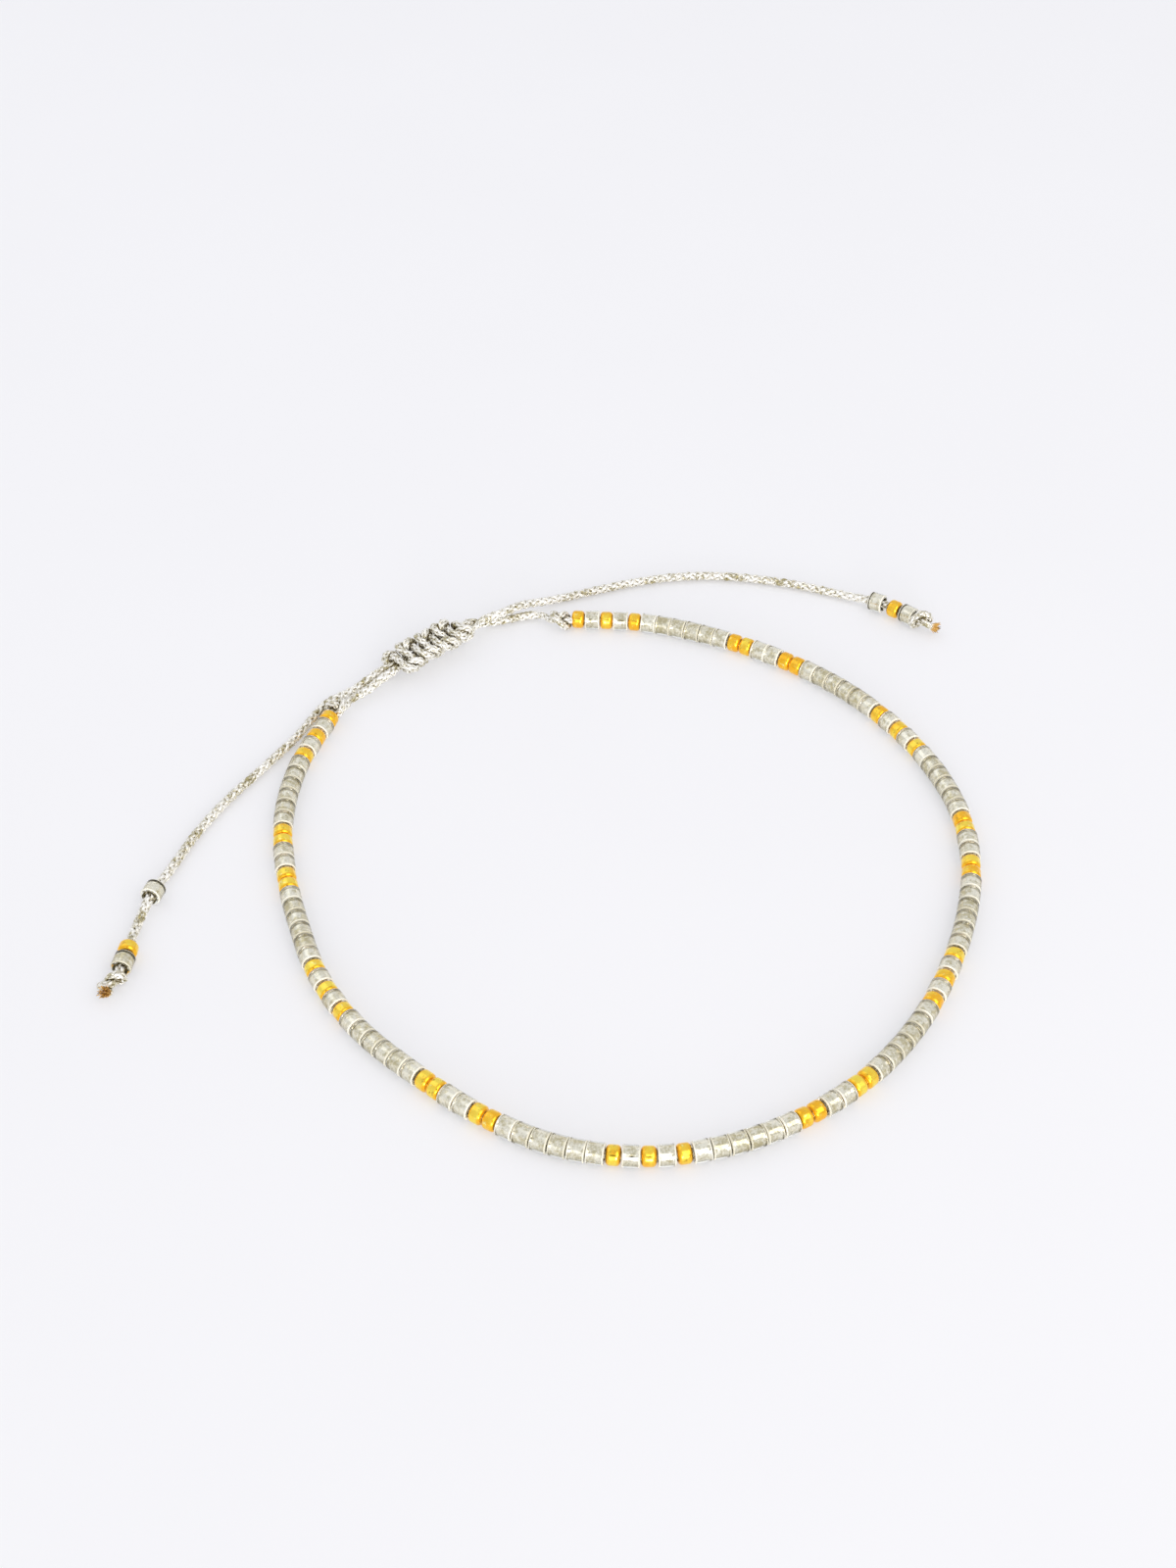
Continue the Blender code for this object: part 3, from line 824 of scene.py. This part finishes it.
def silverFinish():
    # the silver lining of the bore, seen through the glass: mottled, with brighter and duller flakes
    shade = Shade("silverLining")
    place = shade.place()
    patch = shade.noise(place, 1500, 3, 0.6)
    flake = shade.noise(place, 4200, 2, 0.6)
    light = shade.tone() * 0.12 + patch * 0.65 + flake * 0.5 - 0.2
    colour = shade.blend(shade.smooth(light, 0.26, 0.56), *colourSet["silver"])
    return shade.set(Base_Color=colour, Metallic=1.0, Roughness=shade.smooth(flake, 0.3, 0.7, 0.10, 0.28),
                     Normal=shade.bump(patch + flake * 0.4, 0.35, 0.00003))


def rimFinish():
    # the frosted rims of the glass beads, whitest on beads of a high tone; a high tone also carries the
    # painted highlight on rims beside gold beads
    shade = Shade("frostedRim")
    grain = shade.noise(shade.place(), 5000, 2)
    colour = shade.blend(grain, *colourSet["rim"])
    colour = shade.blend(shade.smooth(shade.tone(), 0.25, 0.70), colourSet["dullRim"], colour)
    return shade.set(Base_Color=colour, Roughness=0.30, IOR=1.5, Transmission_Weight=0.2,
                     Normal=shade.bump(grain, 0.3, 0.00001))


def goldFinish():
    # gold lined glass: mottled, with darker flecks, painted glints as brighter flecks, and painted shade
    # deeper towards its ends
    shade = Shade("goldLinedGlass")
    place = shade.place()
    patch = shade.noise(place, 1000, 3, 0.55)
    fleck = shade.noise(place, 2600, 2, 0.6)
    light = shade.tone() * 0.3 + patch * 0.9 - 0.1
    colour = shade.blend(shade.smooth(light, 0.30, 0.70), *colourSet["gold"])
    colour = shade.blend(shade.smooth(fleck, 0.28, 0.40), colourSet["goldDark"], colour)
    # painted glints: pale yellow flecks
    colour = shade.blend(shade.smooth(fleck, 0.60, 0.72), colour, colourSet["goldBright"])
    off = shade.wrap(1) - 0.5
    off = off.sum("ABSOLUTE", off)
    # painted shade: deeper orange towards the rounded ends, and dark brown at the very ends where the beads
    # meet
    colour = shade.blend(shade.smooth(off, 0.20, 0.38), colour, colourSet["goldPaintedEndShade"])
    colour = shade.blend(shade.smooth(off, 0.45, 0.51), colour, colourSet["goldPaintedRimShade"])
    return shade.set(Base_Color=colour, Metallic=0.9, Roughness=shade.smooth(patch, 0.3, 0.7, 0.12, 0.28),
                     Coat_Weight=0.5, Coat_Roughness=0.03, Normal=shade.bump(patch, 0.4, 0.00003))


def singedFinish():
    # loose filaments of the cord's cut end, golden brown and darker where they were singed
    shade = Shade("singedYarn")
    along = shade.wrap(1)
    burnt = shade.smooth(along + shade.tone() * 0.5, 1.08, 1.38)
    colour = shade.blend(shade.smooth(along, 0.0, 0.45), *colourSet["singed"])
    colour = shade.blend(burnt, colour, colourSet["burnt"])
    return shade.set(Base_Color=colour, Metallic=0.3, Roughness=0.35)


yarnLook, singedLook = yarnFinish(), singedFinish()
# the braid's filling, also used for dark bead lips: nearly black painted shade
paintedShadeFillLook = threadFinish("braidFillingPaintedShade", colourSet["paintedShadeFilling"])
threadLook = threadFinish("rowThread", colourSet["thread"])
glassLook, silverLook, rimLook, goldLook = glassFinish(), silverFinish(), rimFinish(), goldFinish()
# body, lining, rims and lips of each kind of bead; the dark lips of the gold and the loose beads are
# painted shade of the gap in the bore, also standing for tarnish
beadLooks = {
    "silver": [glassLook, silverLook, rimLook, silverLook],
    "gold": [goldLook, goldLook, goldLook, paintedShadeFillLook],
    "loose silver": [glassLook, silverLook, rimLook, paintedShadeFillLook],
    "loose gold": [goldLook, goldLook, goldLook, paintedShadeFillLook],
}


# Beads

def beadProfile(kind, lip):
    # half profile of a bead as (radius, place along), with V for each point; mirrored to the other end
    radius, half = kind["wide"] / 2, kind["long"] / 2
    bore, soft = kind["bore"] / 2, kind["round"]
    outer = [(radius, share * (half - soft)) for share in (0.0, 0.5, 0.85)]
    for step in range(5):
        turn = math.pi / 2 * step / 4
        outer.append((radius - soft * (1 - math.cos(turn)), half - soft * (1 - math.sin(turn))))
    inner = [
        ((radius - soft + bore + lip) / 2, half),
        (bore + lip, half),
        (bore + lip * 0.3, half - lip * 0.3),
        (bore, half - lip * 1.2),
        (bore, half * 0.4),
    ]
    right = outer + inner
    outerV = [0.5 + 0.5 * x / half for r, x in outer]
    rightV = outerV + [1.05, 1.1, 1.15, 1.2, 1.4]
    points = [(r, -x) for r, x in right[:0:-1]] + right
    values = [1.0 - v for v in rightV[:0:-1]] + rightV
    return np.array(points), np.array(values)


def addBead(pile, kind, lipWide, middle, heading, roll, tone, grow=(1.0, 1.0), lean=(0.0, 0.0)):
    profile, along = beadProfile(kind, lipWide)
    sides = beadSet["sides"]
    turn = np.arange(sides) * math.tau / sides + roll
    ahead = unit(np.array(heading))
    side = unit(np.cross(ahead, (0.0, 0.0, 1.0)))
    up = np.cross(ahead, side)
    ahead = unit(ahead + side * lean[0] + up * lean[1])
    side = unit(side - ahead * (side @ ahead))
    up = np.cross(ahead, side)
    ring = side[None] * np.cos(turn)[:, None] + up[None] * np.sin(turn)[:, None]
    radius, place = profile[:, 0] * grow[0] * mm, profile[:, 1] * grow[1] * mm
    points = np.array(middle) + ahead * place[:, None, None] + ring[None] * radius[:, None, None]
    faces, uv = ringFaces(len(profile), sides, np.concatenate([along, [along[-1] + 0.2]]), closed=True)
    lined = np.repeat(np.arange(len(profile)) + 0.5, sides)
    lined = (lined > len(profile) - 2) | (lined < 1)
    away = np.repeat((profile[:, 0] + np.roll(profile[:, 0], -1)) / 2, sides) - kind["bore"] / 2
    past = np.repeat(np.abs(profile[:, 1] + np.roll(profile[:, 1], -1)) / 2, sides)
    lip = (away < lipWide) & ~lined
    outside = away > kind["wide"] / 2 - kind["round"] - kind["bore"] / 2
    rim = outside & (past > kind["long"] / 2 - kind["round"])
    plain = ~(lined | lip | rim)
    pile.add(points, tone, [(faces[plain], uv[plain])])
    for finish, part in ((1, lined), (2, rim), (3, lip)):
        pile.lay(faces[part], uv[part], finish)


def stringBeads(name, start, end, node):
    # the beads of one half of the row, silver and gold apart
    piles = {"S": Pile(), "G": Pile()}
    for i in range(start, end):
        kind = beadKind(letters[i])
        lean = math.radians(beadSet["tilt"])
        tilt = (random.uniform(-lean, lean), random.uniform(-lean, lean))
        grow = (1 + random.uniform(-1, 1) * beadSet["playWide"],
                beadSet["crowd"] + random.uniform(-1, 0.6) * beadSet["playLong"])
        place = min(max(beadPlaces[i], 0.02 * mm), row.length - 0.02 * mm)
        heading = row.heading(place, min(0.1 * mm, place, row.length - place))
        roll, tone = random.uniform(0, math.tau), random.random()
        if letters[i] == "S":
            # painted highlight: a bead shows a whiter rim next to a gold one
            paintedRimHighlight = beadSet["paintedRimHighlight"]
            tone = tone * (1 - paintedRimHighlight) + (paintedRimHighlight if "G" in letters[max(i - 1, 0):i + 2] else 0.0)
        middle = row.at(beadPlaces[i])
        addBead(piles[letters[i]], kind, beadSet["lip"], middle, heading, roll, tone, grow, tilt)
    for letter, word in (("S", "silver"), ("G", "gold")):
        piece = piles[letter].make(f"{word}_beads_{name}", beadLooks[word])
        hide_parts(node)
        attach(piece, "root")


def rowThread(name, node, start, end):
    points = row.even(cordSet["threadPoint"] * mm, start, end)
    side, up = carriedFrame(points)[1:]
    pile = Pile()
    thick = endKnotSet["strand"] / 2 * mm
    sweep(pile, points, side, up, thick, thick, 10, 0.5, np.linspace(0, (end - start) / mm, len(points)))
    piece = pile.make(name, [threadLook])
    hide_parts(node)
    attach(piece, "root")


half = len(letters) // 2
rowThread("row_thread_left", "bead_string_left", 0.0, beadPlaces[half - 1])
rowThread("row_thread_right", "bead_string_right", beadPlaces[half - 1], row.length)
stringBeads("left", 0, half, "bead_string_left")
stringBeads("right", half, len(letters), "bead_string_right")
print("bracelet: row strung")


def cordPiece(node, cord, start, end, lean=None):
    # the stretch of a cord that replaces a node, ending in a brush where it is given a lean
    pile = Pile()
    cord.add(pile, start, end)
    if lean:
        addBrush(pile, cord, brushSet, lean)
    piece = pile.make(node + "_braid", [yarnLook, paintedShadeFillLook, singedLook])
    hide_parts(node)
    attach(piece, "root")
    return piece


# Loose beads on the tails, from the route's end inwards: kind, and the bare cord before it, mm
tailBeads = {
    "left": [("silver", -0.30), ("gold", 0.20), ("silver", 5.00)],
    "right": [("silver", 0.04), ("gold", 0.24), ("silver", 0.56)],
}


def dressTail(side, cord, marks):
    pieces = []
    reach = marks["beads"]
    for i, (word, bare) in enumerate(tailBeads[side]):
        kind = beadSet[word]
        reach -= (bare + kind["long"] / 2) * mm
        line = Line(cord.points)
        pile = Pile()
        # the wide dark lip is painted shade of the gap round the cord, and tarnish
        addBead(pile, kind, beadSet["mouth"], line.at(reach), line.heading(reach, beadSet["hold"] * mm),
                random.uniform(0, math.tau), random.random())
        piece = pile.make(f"tail_bead_{side}_{i + 1}_glass", beadLooks["loose " + word])
        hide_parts(f"tail_bead_{side}_{i + 1}")
        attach(piece, "root")
        pieces.append(piece)
        reach -= kind["long"] / 2 * mm
    return pieces


brushSet = {
    "threads": 90,
    "long": 0.80,          # mm
    "root": 0.36,          # radius of the brush where it leaves the cord, in widths of the cord there
    "flare": 0.26,         # how far the threads spread at their ends, mm
    "bend": 0.1,           # how far each one bends by itself
    "sunk": 0.15,          # how far the threads start inside the cord
    "thread": 0.05,
    "lean": {"left": (-0.45, 0.05, 0.0), "right": (0.1, 0.25, 0.0)},  # how far each brush bends, mm
}


def addBrush(pile, cord, wanted, lean):
    # the cord's frayed end: fine threads that leave the last of the braid and spread
    start, ahead = cord.points[-1], cord.heading[-1]
    side, up = cord.side[-1], cord.up[-1]
    share = np.linspace(0.0, 1.0, 7)
    for i in range(wanted["threads"]):
        turn, out = random.uniform(0, math.tau), math.sqrt(random.random())
        reach = wanted["long"] * random.uniform(0.7, 1.1)
        away = side * math.cos(turn) + up * math.sin(turn)
        most = wanted["bend"]
        bend = side * random.uniform(-most, most) + up * random.uniform(-most, most)
        spread = tailKnotSet["strand"] * wanted["root"] * out + wanted["flare"] * out * share ** 1.5
        line = start + (np.outer(share * reach - wanted["sunk"], ahead) + np.outer(spread, away)
                        + np.outer(share ** 2, bend) + np.outer(share, lean)) * mm
        line[:, 2] = np.maximum(line[:, 2], wanted["thread"] * mm)
        across, raised = carriedFrame(line)[1:]
        half = wanted["thread"] / 2 * mm
        sweep(pile, line, across, raised, half, half, 5, random.random(), share * reach / wanted["long"], 2)


# Each cord starts at one end of the row and is the tail on the other side
dressed = (("right", "left", leftCord, leftMarks), ("left", "right", rightCord, rightMarks))
for side, other, cord, marks in dressed:
    cordPiece(f"end_knot_{other}", cord, marks["row"], marks["seat"])
    cordPiece(f"closure_cord_{other}", cord, marks["seat"], marks["mouthOut"])
    tail = cordPiece(f"tail_cord_{side}", cord, marks["mouthOut"], marks["knot"])
    knot = cordPiece(f"tail_knot_{side}", cord, marks["knot"], marks["end"], brushSet["lean"][side])
    beads = dressTail(side, cord, marks)
    path = cord.between(marks["mouthOut"], marks["knot"])
print("bracelet: tails dressed")

tie = squareKnots(sliderSet)
tie += (sliderSet["slip"] - (tie[:, 0].max() + tie[:, 0].min()) / 2, 0.0, -sliderSet["sink"])
for place, reach, swell in sliderSet["lobes"]:
    tie[:, 1] *= 1 + swell * np.exp(-((tie[:, 0] - place) / reach) ** 2)
axes = np.array([sliderAlong, sliderOut, (0.0, 0.0, 1.0)])
tie = np.array(sliderMiddle) + tie @ axes * mm
tieCord = Cord(tie, [(0.0, sliderSet["yarn"]), (1.0, sliderSet["yarn"])])
cordPiece("sliding_knot", tieCord, 0.0, tieCord.length)
print("bracelet: sliding knot tied")


# Surface and light

floorSet = {
    "reach": 1.5,          # metres each way
    "low": -0.07,          # mm, just under the lowest of the knots
    "colours": [(0.44, 0.44, 0.45), (0.46, 0.46, 0.47)],
    "glow": 0.425,
    "glowColour": (0.99, 0.985, 1.0),
}


def makeFloor(wanted):
    mesh = bpy.data.meshes.new("floor")
    reach, low = wanted["reach"], wanted["low"] * mm
    corners = [(-reach, -reach, low), (reach, -reach, low), (reach, reach, low), (-reach, reach, low)]
    mesh.from_pydata(corners, [], [(0, 1, 2, 3)])
    floor = linked("floor", mesh)
    shade = Shade("paleCard")
    patch = shade.noise(shade.place(), 30, 2)
    shade.set(Base_Color=shade.blend(patch, *wanted["colours"]), Roughness=0.9,
              Emission_Color=(*wanted["glowColour"], 1.0), Emission_Strength=wanted["glow"])
    mesh.materials.append(shade.material)
    floor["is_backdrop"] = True


# Square soft lights that face the origin, mm and watts
lightSet = {
    "windowLight": {"place": (150, -170, 240), "wide": 280, "power": 0.34, "colour": (1.0, 0.94, 0.87)},
    "sideLight": {"place": (-170, 110, 220), "wide": 240, "power": 0.06, "colour": (0.95, 0.97, 1.0)},
}


def makeLight(name, wanted):
    light = bpy.data.lights.new(name, "AREA")
    light.shape = "SQUARE"
    light.size = wanted["wide"] * mm
    light.energy = wanted["power"]
    light.color = wanted["colour"]
    lamp = linked(name, light)
    place = Vector(wanted["place"])
    lamp.location = place * mm
    lamp.rotation_euler = place.to_track_quat("Z", "Y").to_euler()


roomSet = {
    "colour": (0.94, 0.95, 1.0),
    "strength": 0.835,
    "front": 2.0,          # how much brighter the room is in front of the bracelet, low down
    "frontAt": (0.0, -0.92, 0.39),
    "frontEdge": (0.80, 0.97),
    "glint": 12.0,         # a small bright window beyond it, lower still
    "glintAt": (0.10, -0.98, 0.16),
    "glintEdge": (0.980, 0.992),
    "dark": (0.0, -0.70, 0.71),  # a dark gap in the white room
    "darkEdge": (0.973, 0.991),
    "darkLeft": 0.06,      # share of the light that is left in it
}


def makeWorld(wanted):
    world = bpy.data.worlds.new("whiteRoom")
    world.use_nodes = True
    tree = world.node_tree
    background = tree.nodes["Background"]
    background.inputs["Color"].default_value = (*wanted["colour"], 1.0)
    room = Shade("whiteRoom", tree)
    ray = room.node("ShaderNodeTexCoord", out=0)
    gap = room.smooth(room.toward(ray, wanted["dark"]), *wanted["darkEdge"], 1.0, wanted["darkLeft"])
    front = room.smooth(room.toward(ray, wanted["frontAt"]), *wanted["frontEdge"], 1.0, wanted["front"])
    glint = room.smooth(room.toward(ray, wanted["glintAt"]), *wanted["glintEdge"], 0.0, wanted["glint"])
    strength = (gap * front + glint) * wanted["strength"]
    tree.links.new(strength.socket, background.inputs["Strength"])
    bpy.context.scene.world = world


makeFloor(floorSet)
makeWorld(roomSet)
for name, wanted in lightSet.items():
    makeLight(name, wanted)
bpy.context.scene.view_settings.view_transform = "Standard"

for name, bounds in (("cad", cadBounds), ("visual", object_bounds())):
    print("bracelet:", name, "box", [[round(float(x) / mm, 2) for x in corner] for corner in bounds])
